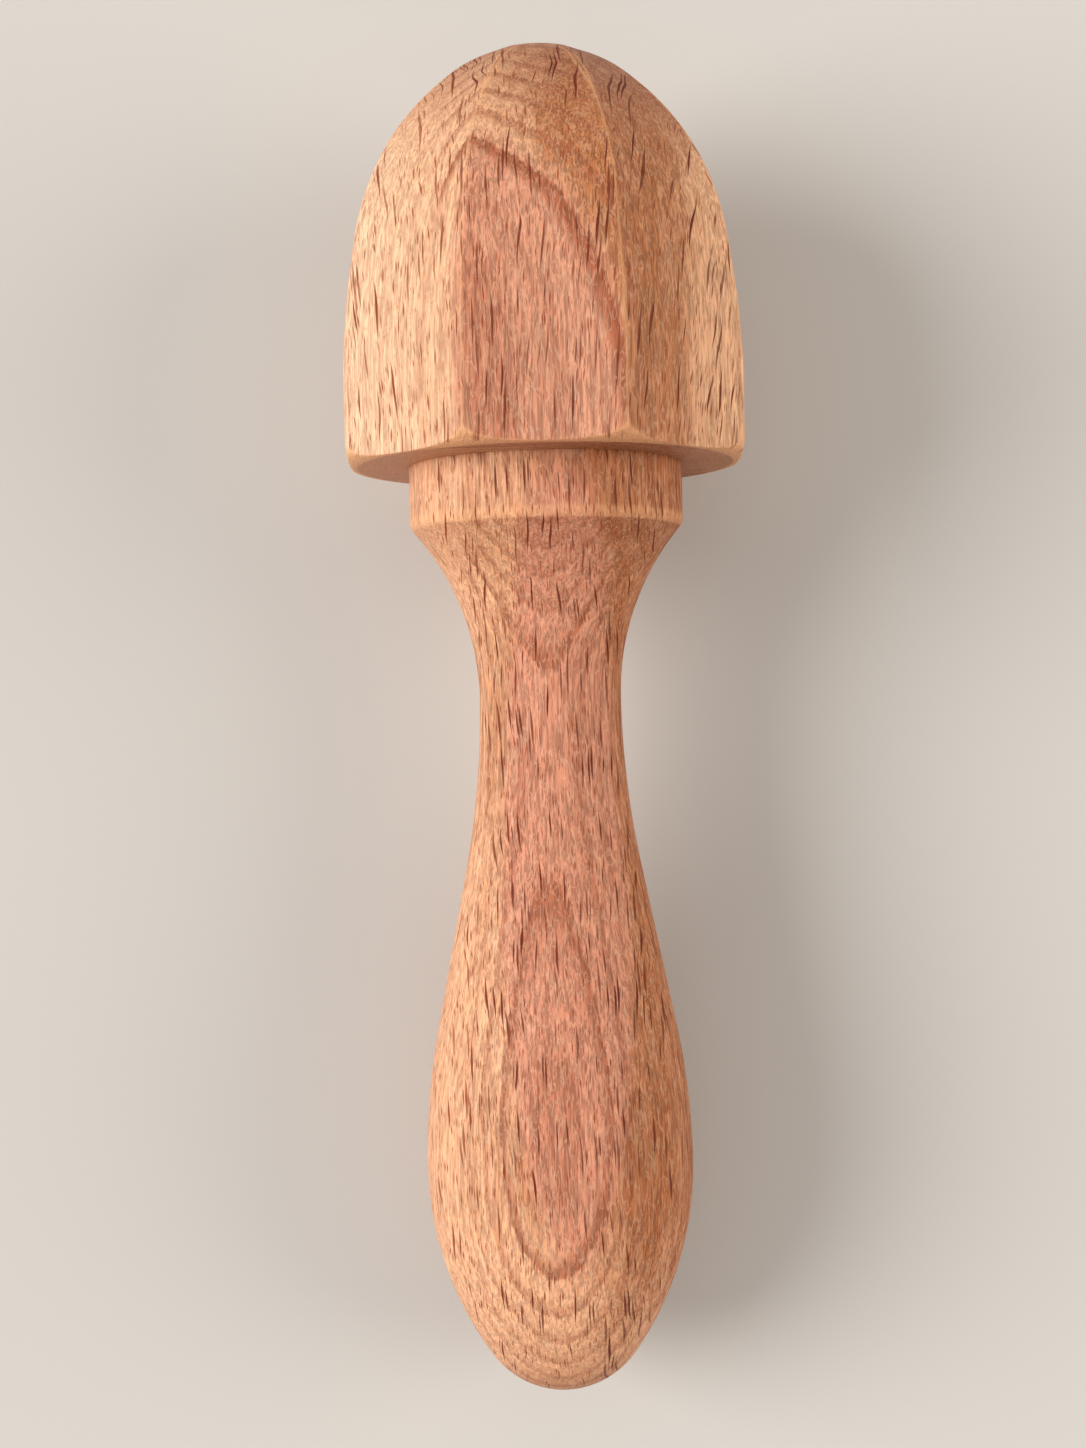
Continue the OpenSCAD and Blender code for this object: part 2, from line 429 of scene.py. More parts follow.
def spread(first, last, step):
    """Even steps from first to last, with both of them."""
    steps = max(1, round(abs(last - first) / step))
    return [first + (last - first) * i / steps for i in range(steps + 1)]


def direction(turn):
    """The unit vector at an angle."""
    return Vector((math.cos(turn), math.sin(turn)))


class Dome:
    """Outline of a dome: straight sides, then a side, a shoulder and a tip arc.

    Two arcs that follow each other cross at a small angle.
    """

    def __init__(self, sizes, half, top_radius, top):
        cross = sizes.crossing
        side = (cross, sizes.side_lean)
        shoulder = (sizes.side_lean + cross, sizes.shoulder_lean)
        tip = sizes.shoulder_lean + cross
        # Distance inwards and upwards that the side and the shoulder still have to cover
        inward = half - top_radius * math.cos(tip)
        upward = top - sizes.straight - top_radius * (1 - math.sin(tip))
        side_in = math.cos(side[0]) - math.cos(side[1])
        side_up = math.sin(side[1]) - math.sin(side[0])
        shoulder_in = math.cos(shoulder[0]) - math.cos(shoulder[1])
        shoulder_up = math.sin(shoulder[1]) - math.sin(shoulder[0])
        scale = side_in * shoulder_up - side_up * shoulder_in
        self.half = half
        self.start = sizes.straight
        self.side_r = (inward * shoulder_up - upward * shoulder_in) / scale
        self.shoulder_r = (upward * side_in - inward * side_up) / scale
        self.tip_r = top_radius
        self.side_c = Vector((half, sizes.straight)) - self.side_r * direction(side[0])
        self.side_end = self.side_c + self.side_r * direction(side[1])
        self.shoulder_c = self.side_end - self.shoulder_r * direction(shoulder[0])
        self.shoulder_end = self.shoulder_c + self.shoulder_r * direction(shoulder[1])
        self.tip_c = Vector((0, top - top_radius))

    def reach(self, height):
        """How far the outline stands from the axis at a height."""
        if height <= self.start:
            return self.half
        if height <= self.side_end.y:
            centre, radius = self.side_c, self.side_r
        elif height <= self.shoulder_end.y:
            centre, radius = self.shoulder_c, self.shoulder_r
        else:
            centre, radius = self.tip_c, self.tip_r
        return centre.x + math.sqrt(max(0.0, radius ** 2 - (height - centre.y) ** 2))


def head_levels(s, joint):
    """Rings of the head, from the end of its bore, over the underside and the rim, to the tip."""
    # Distance between two rings on the underside, on the sides and on the shoulders
    under_step, side_step, shoulder_step = 1.2 * MM, 0.8 * MM, 0.7 * MM
    # Turn between two rings on the rim and on the crown
    rim_step, crown_step = math.radians(3), math.radians(1.8)
    half = s.across / 2
    corner_half = half * math.sqrt(2) - s.corner_facet / 2
    corner_r = math.hypot(half, half - s.corner_facet / math.sqrt(2))
    top = s.height + s.crown_drop
    wide = Dome(s, half, s.tip_radius, top)
    corner = Dome(s, corner_half, s.tip_radius, top)
    blank = Dome(s, corner_r + s.blank_spare, s.crown_radius, s.height)
    rim = Vector((corner_r + s.rim_spare - s.rim_radius, s.rim_radius))
    bore_r, bore_end = joint.bore / 2, joint.in_head
    levels = [Level(bore_end, r, skin=0) for r in spread(0, bore_r, bore_r / BORE_END_RINGS)]
    levels += [Level(z, bore_r, skin=0) for z in spread(bore_end, 0, BORE_STEP)]
    levels += [Level(0, r, skin=0) for r in spread(bore_r, rim.x, under_step)[1:]]
    # The rim's turned corner starts flat, so its rings follow its turn in even steps
    for turn in spread(0, math.pi / 2, rim_step)[1:]:
        z = rim.y - s.rim_radius * math.cos(turn)
        turned = rim.x + s.rim_radius * math.sin(turn)
        levels.append(Level(z, turned, wide.reach(z), corner.reach(z), math.sin(turn), RIM_HIGHLIGHT))
    for z in spread(s.rim_radius, wide.side_end.y, side_step)[1:]:
        turned = blank.reach(z)
        # Just above the rim the blank opens out at 45 degrees, up to its own outline
        if z <= 2 * s.rim_radius:
            turned = min(turned, corner_r + s.rim_spare + (z - s.rim_radius))
        levels.append(Level(z, turned, wide.reach(z), corner.reach(z)))
    # The crown's rings follow its own turn, so that they close evenly into the pole
    crown_c = s.height - s.crown_radius
    heights = spread(wide.side_end.y, crown_c, shoulder_step)[1:]
    crown_turns = spread(0, math.pi / 2, crown_step)[1:]
    heights += [crown_c + s.crown_radius * math.sin(turn) for turn in crown_turns]
    levels += [Level(z, blank.reach(z), wide.reach(z), corner.reach(z)) for z in heights]
    levels[-1].turned = Level.POLE
    return levels


def arc_points(centre, radius, first, last, step):
    """Points along an arc, from one angle to another, without its first point."""
    return [centre + radius * direction(turn) for turn in spread(first, last, step / radius)[1:]]


def handle_levels(s, joint):
    """Rings of the handle, from its rounded end up to the collar and down into its bore."""
    # Distance between two rings along the outline, and on the flat shoulder round the bore
    step, shoulder_step = 0.55 * MM, 1.5 * MM
    # Distance from the collar's upper edge to the rings on both sides that keep it crisp
    crisp = 0.02 * MM
    collar_r, neck_r, grip_r, end_z = s.collar / 2, s.neck / 2, s.grip / 2, -s.length
    # Flare: one hollow arc that meets the collar's sharp corner
    inward, rise = collar_r - neck_r, s.neck_at - s.collar_height
    flare_r = (inward ** 2 + rise ** 2) / (2 * inward)
    flare_c = Vector((neck_r + flare_r, -s.neck_at))
    # Collar corner: a small arc that touches the collar and the flare
    round_in = flare_c.x - collar_r + s.collar_round
    round_up = math.sqrt((flare_r + s.collar_round) ** 2 - round_in ** 2)
    round_c = Vector((collar_r - s.collar_round, round_up - s.neck_at))
    flare_turn = math.atan2(round_c.y - flare_c.y, round_c.x - flare_c.x)
    # Flank: a hollow arc, a straight cone and a full arc
    outward, drop = grip_r - neck_r, s.grip_at - s.neck_at
    lean = (1 + s.flank_curve) * math.atan2(outward, drop)
    both = (drop * math.sin(lean) - outward * math.cos(lean)) / (1 - math.cos(lean))
    neck_curve = s.neck_share * both
    grip_curve = both - neck_curve
    neck_c = Vector((neck_r + neck_curve, -s.neck_at))
    grip_c = Vector((grip_r - grip_curve, -s.grip_at))
    grip_low = grip_c + grip_curve * direction(lean)
    neck_low = neck_c - neck_curve * direction(lean)
    # Butt: an arc from the fullest place into the rounded end
    below = s.length - s.grip_at
    butt_r = (grip_r ** 2 + below ** 2 - 2 * below * s.end_radius) / (2 * (grip_r - s.end_radius))
    butt_c = Vector((grip_r - butt_r, -s.grip_at))
    end_c = Vector((0, end_z + s.end_radius))
    butt_turn = math.atan2(end_c.y - butt_c.y, end_c.x - butt_c.x)

    outline = [Vector((0, end_z))]
    outline += arc_points(end_c, s.end_radius, -math.pi / 2, butt_turn, step)
    outline += arc_points(butt_c, butt_r, butt_turn, 0, step)
    outline += arc_points(grip_c, grip_curve, 0, lean, step)
    straight = spread(0, 1, step / (neck_low - grip_low).length)
    outline += [grip_low.lerp(neck_low, t) for t in straight[1:]]
    outline += arc_points(neck_c, neck_curve, math.pi + lean, math.pi, step)
    outline += arc_points(flare_c, flare_r, math.pi, flare_turn, step)
    levels = [Level(p.y, p.x) for p in outline]
    levels[0].skin = 0.0
    corner = arc_points(round_c, s.collar_round, flare_turn - math.pi, 0, step / 2)
    levels += [Level(p.y, p.x, edge=COLLAR_HIGHLIGHT) for p in corner]
    levels += [Level(z, collar_r) for z in spread(round_c.y, -crisp, step)[1:]]
    levels[-1].skin = 0.0
    bore_r = joint.bore / 2
    shoulder = [collar_r - crisp, *spread(collar_r, bore_r, shoulder_step)[1:]]
    levels += [Level(0, r, skin=0) for r in shoulder]
    levels += [Level(z, bore_r, skin=0) for z in spread(0, -joint.in_handle, BORE_STEP)[1:]]
    bore_end = spread(bore_r, 0, bore_r / BORE_END_RINGS)[1:]
    levels += [Level(-joint.in_handle, r, skin=0) for r in bore_end]
    return levels


# Finish: steamed beech

def ray_group():
    """Shader group: lens-shaped ray flecks that lie along the grain, as a mask."""
    tree, w, given, result = new_group(
        "ray_flecks", "ShaderNodeTree",
        {
            "Across": (FLOAT, 0.0),
            "Along": (FLOAT, 0.0),
            "Width": (FLOAT, 0.5),
            "Length": (FLOAT, 5.0),
            "Share": (FLOAT, 0.6),
        },
        {"Fleck": (FLOAT, None), "Tone": (FLOAT, None)},
    )
    # Half the size of the largest fleck, as a part of a cell, whose sides are Width and Length
    largest = 0.45
    # Part of a fleck's size that has its full tone
    core = 0.55
    # Powers below 1 bring the sizes of the flecks closer together
    evenness = 0.75
    across = w.math("DIVIDE", given["Across"], given["Width"])
    along = w.math("DIVIDE", given["Along"], given["Length"])
    # An exponent near 1 gives the flecks pointed ends
    inputs = {
        "Vector": w.join(across, along, 0.0), "Scale": 1.0, "Randomness": 0.85, "Exponent": 1.3,
    }
    settings = {"distance": "MINKOWSKI", "feature": "F1", "voronoi_dimensions": "2D"}
    cells = w.add("ShaderNodeTexVoronoi", inputs, **settings)
    chance, tone, _ = w.split(cells.outputs["Color"])[:3]
    # A share of the cells holds a fleck, and the luckiest of them hold the largest
    luck = w.math("SUBTRACT", 1.0, w.math("DIVIDE", chance, given["Share"]), clamp=True)
    half_size = w.math("MULTIPLY", w.math("POWER", luck, evenness), largest)
    inside = w.math("MULTIPLY", half_size, core)
    outside = w.math("ADD", half_size, 0.001)
    w.feed(result["Fleck"], w.fade(cells.outputs["Distance"], inside, outside))
    w.feed(result["Tone"], tone)
    return tree


def beech_group():
    """Shader group: rings, ray flecks, fibres and heartwood of beech, with some painted light and
    shade, on the upright tool in mm.
    """
    tree, w, given, result = new_group(
        "beech", "ShaderNodeTree",
        {
            "Vector": (VECTOR, None),
            "Pith": (VECTOR, (0, -40, 0)),
            "Pith Lean": (VECTOR, (0, 0, 0)),
            "Ring Spacing": (FLOAT, 2.5),
            "Ring Offset": (FLOAT, 0.0),
            "Ring Strength": (FLOAT, 0.8),
            "Ring Waver": (FLOAT, 4.0),
            "Ring Reach": (FLOAT, 11.0),
            "Strongest Ring": (FLOAT, 29.0),
            "Inner Rings": (FLOAT, 0.25),
            "Core Radius": (FLOAT, 0.0),
            "Grain Lean": (FLOAT, 0.0),
            "Grain Fan": (FLOAT, 0.0),
            "Darkest At": (FLOAT, 4.5),
            "Dark Reach": (FLOAT, 8.0),
            "Fading": (FLOAT, 0.05),
            "Painted Left Light": (FLOAT, 0.0),
            "Pale Patch Place": (VECTOR, (0, 0, 500)),
            "Pale Patch Size": (VECTOR, (10, 10, 10)),
            "Fleck Length": (FLOAT, 6.0),
            "Heart Radius": (FLOAT, 60.0),
            "Heart Place": (VECTOR, (0, -20, 10)),
            "Heart Size": (VECTOR, (12, 14, 26)),
            "Edge": (FLOAT, 0.0),
            "End Grain": (FLOAT, 0.0),
            "Pale": (COLOR, (0.7, 0.45, 0.25, 1)),
            "Deep": (COLOR, (0.6, 0.3, 0.15, 1)),
            "Ring": (COLOR, (0.4, 0.2, 0.1, 1)),
            "Heart": (COLOR, (0.6, 0.3, 0.2, 1)),
            "Fleck": (COLOR, (0.1, 0.03, 0.01, 1)),
            "Small Fleck": (COLOR, (0.3, 0.12, 0.05, 1)),
            "Fibre": (COLOR, (1.0, 0.8, 0.6, 1)),
            "Highlit": (COLOR, (0.7, 0.3, 0.1, 1)),
            "End Tint": (COLOR, (0.8, 0.6, 0.5, 1)),
        },
        {"Color": (COLOR, None), "Height": (FLOAT, None), "Roughness": (FLOAT, None)},
    )
    # How much the pale squiggles, the darker lines between them and the painted highlight on the edges
    # show
    vein_share, fibre_shade_share, highlight_share = 0.24, 0.3, 0.62
    # How far the rows of flecks wander
    row_wander = 1.2
    # The back and the left side take their flecks from other places of the same pattern
    back_place, left_place = 57.3, 83.1

    place = given["Vector"]
    x, y, z = w.split(place)[:3]

    def streaks(wide, long, **look):
        """Noise in streaks of that width and length, in millimetres, along the grain."""
        return w.noise(w.scaled(place, 1 / wide, 1 / wide, 1 / long), **look)

    def any_way(noise):
        """A noise's colour as a vector that may point any way."""
        return w.vector("SUBTRACT", noise.outputs["Color"], (0.5, 0.5, 0.5))

    # Growth rings round a pith that lies outside the piece, pushed about by slow noise
    waver = w.join(given["Ring Waver"], given["Ring Waver"], 0.0)
    push = w.vector("MULTIPLY", any_way(streaks(13, 30, detail=2.0)), waver)
    pushed = w.vector("ADD", place, push)
    # The pith leans against the tool's axis, by so much per millimetre of height
    pith = w.vector("MULTIPLY_ADD", given["Pith Lean"], w.join(z, z, z), given["Pith"])
    from_pith = w.scaled(w.vector("SUBTRACT", pushed, pith), 1, 1, 0)
    distance = w.vector("LENGTH", from_pith)
    # The fibres make the edges of the rings ragged
    fibre = streaks(0.36, 4.5, detail=1.5, roughness=0.6, distortion=0.6).outputs[0]
    ragged = w.math("MULTIPLY_ADD", fibre, 0.4, distance)
    years = w.math("DIVIDE", w.math("ADD", ragged, given["Ring Offset"]), given["Ring Spacing"])
    season = w.math("FRACT", years)
    # Each year's wood darkens slowly and ends in a sharper line
    late = w.math("MULTIPLY", w.ease(season, 0.45, 0.84), w.fade(season, 0.88, 1.0))
    # Rings inside the strongest one have a strength of their own, and those outside are weaker
    past = w.math("SUBTRACT", distance, given["Strongest Ring"])
    late = w.math("MULTIPLY", late, w.ease(past, -1.8, -0.8, given["Inner Rings"], 1.0))
    late = w.math("MULTIPLY", late, w.ease(past, 0.8, 2.6, 1.0, 0.55))
    sideways = w.math("DIVIDE", w.math("ABSOLUTE", x), given["Ring Reach"])
    late = w.math("MULTIPLY", late, w.ease(sideways, 0.85, 1.2, 1.0, 0.25))
    late = w.math("MULTIPLY", late, given["Ring Strength"])

    # Ray flecks: one set is seen from the front and the back, the other from the two sides
    rays = bpy.data.node_groups.get("ray_flecks") or ray_group()
    wander_x, wander_y, _ = w.split(any_way(streaks(5, 9, detail=1.0)))[:3]
    slope = w.math("MULTIPLY_ADD", x, given["Grain Fan"], given["Grain Lean"])
    lean = w.math("MULTIPLY", z, slope)
    behind = w.math("MULTIPLY", w.math("GREATER_THAN", y, 0.0), back_place)
    leftward = w.math("MULTIPLY", w.math("LESS_THAN", x, 0.0), left_place)

    def rows(across, wander, elsewhere):
        """The place across the rows of flecks, which wander and lean."""
        wandering = w.math("MULTIPLY_ADD", wander, row_wander, across)
        return w.math("ADD", w.math("SUBTRACT", wandering, lean), elsewhere)

    front = rows(x, wander_x, behind)
    side = rows(y, wander_y, leftward)
    # The small addition keeps the axis itself from a division by 0
    from_axis = w.math("ADD", w.vector("LENGTH", w.join(x, y, 0.0)), 0.01)
    facing = w.math("DIVIDE", w.math("ABSOLUTE", y), from_axis)
    from_front = w.ease(w.math("MULTIPLY_ADD", wander_x, 0.25, facing), 0.38, 0.46)
    # Cut ends show no flecks
    along_grain = w.fade(given["End Grain"], 0.8, 0.97)

    def flecks(width, length, part):
        """A mask of flecks in cells of that size, with one in that part of them, and their tones."""
        sets = []
        for across in (side, front):
            inputs = {
                "Across": across, "Along": z, "Width": width, "Length": length, "Share": part,
            }
            sets.append(w.add("ShaderNodeGroup", inputs, node_tree=rays).outputs)
        mask = w.mix(from_front, sets[0]["Fleck"], sets[1]["Fleck"])
        tone = w.mix(from_front, sets[0]["Tone"], sets[1]["Tone"])
        return w.math("MULTIPLY", mask, along_grain), tone

    large, large_tone = flecks(width=0.42, length=given["Fleck Length"], part=0.38)
    shorter = w.math("MULTIPLY", given["Fleck Length"], 0.3)
    small, small_tone = flecks(width=0.3, length=shorter, part=0.5)

    # Ground: slow streaks along the grain, darkest in one band and paler away from it, with a pale
    # patch; band and patch are partly the wood's tone and partly painted light and shade
    streak = streaks(1.7, 42, detail=2.0).outputs[0]
    broad = streaks(16, 55, detail=1.0).outputs[0]
    depth = w.math("MULTIPLY_ADD", streak, 0.9, w.math("MULTIPLY", broad, 0.7))
    # Painted light and shade, partly the wood's tone: paler with distance from the darkest band
    from_darkest = w.math("ABSOLUTE", w.math("SUBTRACT", x, given["Darkest At"]))
    past_band = w.math("MAXIMUM", w.math("SUBTRACT", from_darkest, given["Dark Reach"]), 0.0)
    depth = w.math("MULTIPLY_ADD", past_band, w.math("MULTIPLY", given["Fading"], -1.0), depth)
    # A pale patch, partly painted light
    from_pale_patch = w.vector("SUBTRACT", place, given["Pale Patch Place"])
    from_pale_patch = w.vector("LENGTH", w.vector("DIVIDE", from_pale_patch, given["Pale Patch Size"]))
    depth = w.math("SUBTRACT", depth, w.ease(from_pale_patch, 0.1, 1.3, 0.7, 0.0))
    ground = w.blend(w.ease(depth, 0.15, 0.95), given["Pale"], given["Deep"])
    # Painted light: the left side, where the left lamp falls, blends towards the pale fibre colour
    painted_left_light = w.math("MULTIPLY", w.fade(x, -23.0, -10.0), given["Painted Left Light"])
    ground = w.blend(painted_left_light, ground, given["Fibre"])

    # Heartwood: a soft patch with a darker core, which both end along the growth rings
    from_heart = w.vector("SUBTRACT", pushed, given["Heart Place"])
    from_heart = w.vector("LENGTH", w.vector("DIVIDE", from_heart, given["Heart Size"]))
    patch = w.fade(from_heart, 0.8, 1.0)
    past_heart = w.math("SUBTRACT", distance, given["Heart Radius"])
    heart = w.math("MULTIPLY", patch, w.fade(past_heart, -1.4, 1.1))
    ground = w.blend(heart, ground, given["Heart"])
    past_core = w.math("SUBTRACT", distance, given["Core Radius"])
    core = w.math("MULTIPLY", patch, w.ease(past_core, -0.6, 0.3, 0.5, 0.0))
    ground = w.blend(core, ground, given["Ring"])
    ground = w.blend(late, ground, given["Ring"])

    # Fibres, with pale squiggles among them and darker lines beside the squiggles, both partly the
    # wood's figure and partly painted highlight and shade of the fibres' relief
    squiggle = streaks(0.8, 3.8, detail=1.0, distortion=1.5).outputs[0]
    vein = w.fade(w.math("ABSOLUTE", w.math("SUBTRACT", squiggle, 0.5)), 0.0, 0.07)
    fibre_shade = w.fade(w.math("ABSOLUTE", w.math("SUBTRACT", squiggle, 0.6)), 0.0, 0.04)
    combed = w.ease(fibre, 0.36, 0.64)
    combed_share = w.ease(given["End Grain"], 0.3, 0.9, 0.48, 0.2)
    tint = w.math("MULTIPLY", w.math("SUBTRACT", combed, 0.5), combed_share)
    tint = w.math("ADD", tint, 0.96)
    ground = w.blend(1.0, ground, w.join(tint, tint, tint), kind="MULTIPLY")
    cut_end = w.ease(given["End Grain"], 0.36, 0.95)
    ground = w.blend(cut_end, ground, given["End Tint"], kind="MULTIPLY")
    ground = w.blend(w.math("MULTIPLY", vein, vein_share), ground, given["Fibre"])
    ground = w.blend(w.math("MULTIPLY", fibre_shade, fibre_shade_share), ground, given["Ring"])
    # A painted highlight along the ridges and the turned edges
    edge_highlight = w.math("MULTIPLY", given["Edge"], highlight_share)
    ground = w.blend(edge_highlight, ground, given["Highlit"])

    # Flecks over everything else, the large ones paler on the left, which is painted light where the
    # left lamp falls
    faint = w.math("MULTIPLY", small, w.ease(small_tone, 0.0, 1.0, 0.35, 0.9))
    ground = w.blend(faint, ground, given["Small Fleck"])
    dark = w.math("MULTIPLY", large, w.ease(large_tone, 0.0, 1.0, 0.7, 1.0))
    fleck = w.blend(w.ease(x, -12.0, -6.0, 0.2, 1.0), given["Small Fleck"], given["Fleck"])
    w.feed(result["Color"], w.blend(dark, ground, fleck))

    # Relief: the fibres stand up a little, and the flecks are sunk
    height = w.math("MULTIPLY_ADD", combed, 0.45, w.math("MULTIPLY", vein, 0.2))
    height = w.math("SUBTRACT", height, large)
    w.feed(result["Height"], w.math("SUBTRACT", height, w.math("MULTIPLY", small, 0.4)))
    rough = w.math("MULTIPLY_ADD", combed, -0.1, 0.52)
    w.feed(result["Roughness"], w.math("MULTIPLY_ADD", large, 0.2, rough))
    return tree


def beech(name, colours, **values):
    """A material of beech. Its values are those of the beech group."""
    material = bpy.data.materials.new(name)
    material.use_nodes = True
    material.node_tree.nodes.clear()
    w = Wiring(material.node_tree)
    # The group works in millimetres on the upright tool
    to_upright = LAID.inverted()
    where = w.add("ShaderNodeTexCoord").outputs["Object"]
    upright = w.add("ShaderNodeMapping", {"Vector": where}, vector_type="POINT")
    upright.inputs["Location"].default_value = to_upright.translation / MM
    upright.inputs["Rotation"].default_value = to_upright.to_euler()
    upright.inputs["Scale"].default_value = (1 / MM, 1 / MM, 1 / MM)
    wood = w.add("ShaderNodeGroup", node_tree=bpy.data.node_groups.get("beech") or beech_group())
    w.feed(wood.inputs["Vector"], upright.outputs[0])
    for label, stored in (("Edge", "edge"), ("End Grain", "end_grain")):
        attribute = w.add("ShaderNodeAttribute", attribute_name=stored)
        w.feed(wood.inputs[label], attribute.outputs["Fac"])
    tones = {
        "Pale": colours.pale, "Deep": colours.deep, "Ring": colours.ring,
        "Heart": colours.heart, "Fleck": colours.fleck, "Small Fleck": colours.small_fleck,
        "Fibre": colours.fibre, "Highlit": colours.edge, "End Tint": colours.end_grain,
    }
    for label, tone in tones.items():
        wood.inputs[label].default_value = (*tone, 1.0)
    for label, value in values.items():
        wood.inputs[label].default_value = value
    relief = w.add("ShaderNodeBump", {
        "Strength": 0.7, "Distance": 0.2 * MM, "Height": wood.outputs["Height"],
    })
    skin = w.add("ShaderNodeBsdfPrincipled", {
        "Base Color": wood.outputs["Color"], "Roughness": wood.outputs["Roughness"],
        "Normal": relief.outputs[0], "IOR": 1.45, "Specular IOR Level": 0.25,
    })
    w.add("ShaderNodeOutputMaterial", {"Surface": skin.outputs[0]})
    return material


# Operators

class MakeReamerHead(bpy.types.Operator):
    """Shapes the eight-sided head and gives it its beech"""
    bl_idname = "reamer.make_head"
    bl_label = "Reaming Head"

    def execute(self, context):
        scene = context.scene
        s = scene.reamer_head
        wood = beech("head_beech", scene.reamer_beech, **{
            "Pith": (-16.5, -100.0, 0.0), "Pith Lean": (-0.25, 0.04, 0.0),
            "Ring Spacing": 2.3, "Ring Offset": 1.53, "Ring Strength": 0.95, "Ring Waver": 0.8,
            "Strongest Ring": 80.75, "Heart Radius": 81.4, "Core Radius": 77.5,
            "Grain Lean": 0.04, "Grain Fan": 0.005, "Fleck Length": 9.5,
            # Painted light and shade, partly the wood's tone: darkest in a band right of the front,
            # paler towards both sides, and paler still on the lit left
            "Darkest At": 9.0, "Dark Reach": 5.0, "Painted Left Light": 0.5,
            "Heart Place": (-0.5, -26.0, 10.0), "Heart Size": (11.0, 26.0, 44.0),
            # The pale patch on the far right side is partly the wood's tone and partly a painted sheen
            "Pale Patch Place": (24.0, -8.0, 14.0), "Pale Patch Size": (10.0, 20.0, 34.0),
        })
        rings = head_levels(s, scene.reamer_joint)
        turned_piece("eight_sided_head", rings, wood, HEAD, "head_wood", **{
            "Points Around": s.around, "Ridge Sharpness": s.sharpness, "Crowding": s.crowding,
            "Waviness": s.waviness, "Wave Length": 9 * MM, "Seed": 0.31,
        })
        return {"FINISHED"}


class MakeReamerHandle(bpy.types.Operator):
    """Turns the handle and gives it its beech"""
    bl_idname = "reamer.make_handle"
    bl_label = "Handle"

    def execute(self, context):
        scene = context.scene
        s = scene.reamer_handle
        wood = beech("handle_beech", scene.reamer_beech, **{
            "Pith": (-1.0, -24.0, 0.0), "Pith Lean": (0.0, 0.086, 0.0),
            "Ring Spacing": 2.1, "Ring Offset": 1.21, "Ring Strength": 0.75, "Ring Waver": 0.9,
            "Ring Reach": 9.5, "Strongest Ring": 17.2, "Inner Rings": 0.55,
            "Grain Lean": -0.03, "Fleck Length": 7.0,
            "Pale": (*srgb(236, 176, 135), 1.0), "Deep": (*srgb(170, 99, 53), 1.0),
            # The darkest band darkens the handle's right side, partly the wood's tone and partly
            # painted shade
            "Heart": (*srgb(210, 140, 111), 1.0), "Darkest At": 13.0, "Fading": 0.035,
            "Heart Place": (1.5, -14.0, -48.0), "Heart Size": (9.0, 16.0, 54.0),
            # The pale patch at the rounded end is painted light
            "Pale Patch Place": (-1.0, -14.0, -106.0), "Pale Patch Size": (14.0, 22.0, 18.0),
        })
        rings = handle_levels(s, scene.reamer_joint)
        turned_piece("turned_handle", rings, wood, HANDLE, "handle_wood", **{
            "Points Around": s.around, "Ridge Sharpness": 100.0, "Crowding": 0.0,
            "Waviness": s.waviness, "Wave Length": 14 * MM, "Seed": 0.77,
        })
        return {"FINISHED"}


class FinishReamerDowel(bpy.types.Operator):
    """Gives the hidden dowel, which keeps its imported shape, a plain machined beech"""
    bl_idname = "reamer.finish_dowel"
    bl_label = "Dowel"

    def execute(self, context):
        dowel = frame["nodes"][DOWEL]
        wood = beech("dowel_beech", context.scene.reamer_beech, **{
            "Pith": (3.0, 30.0, 0.0), "Ring Spacing": 1.8, "Ring Strength": 0.5,
            "Fleck Length": 2.6, "Heart Place": (0.0, 60.0, 0.0),
        })
        dowel.data.materials.clear()
        dowel.data.materials.append(wood)
        return {"FINISHED"}


class SetReamerStage(bpy.types.Operator):
    """Lays the floor, hangs the lamps and sets the camera"""
    bl_idname = "reamer.set_stage"
    bl_label = "Stage"

    def execute(self, context):
        s = context.scene.reamer_stage
        lay_floor(s)
        hang_lamps(s)
        light_sky(context.scene, s)
        set_camera(context.scene)
        context.scene.view_settings.view_transform = "Standard"
        return {"FINISHED"}


def lay_floor(s):
    """A wide square floor at the height that the tool rests on."""
    half = 3.0
    # Colour of the floor's broad, faint blotches, and how much of it they get
    blotch, blotch_share = (0.66, 0.63, 0.6, 1.0), 0.12
    mesh = bpy.data.meshes.new("floor")
    corners = [(-half, -half, 0), (half, -half, 0), (half, half, 0), (-half, half, 0)]
    mesh.from_pydata(corners, [], [(0, 1, 2, 3)])
    floor = bpy.data.objects.new("floor", mesh)
    bpy.context.scene.collection.objects.link(floor)
    material = bpy.data.materials.new("floor_paper")
    material.use_nodes = True
    w = Wiring(material.node_tree)
    skin = material.node_tree.nodes["Principled BSDF"]
    where = w.add("ShaderNodeTexCoord").outputs["Object"]
    tooth = w.noise(w.scaled(where, 900, 900, 900), detail=3.0)
    cast = w.noise(w.scaled(where, 3, 3, 3), detail=1.0)
    blotched = w.math("MULTIPLY", cast.outputs[0], blotch_share)
    w.feed(skin.inputs["Base Color"], w.blend(blotched, (*s.floor, 1.0), blotch))
    relief = w.add("ShaderNodeBump", {
        "Strength": 0.08, "Distance": 0.05 * MM, "Height": tooth.outputs[0],
    })
    w.feed(skin.inputs["Normal"], relief.outputs[0])
    skin.inputs["Roughness"].default_value = 0.85
    mesh.materials.append(material)


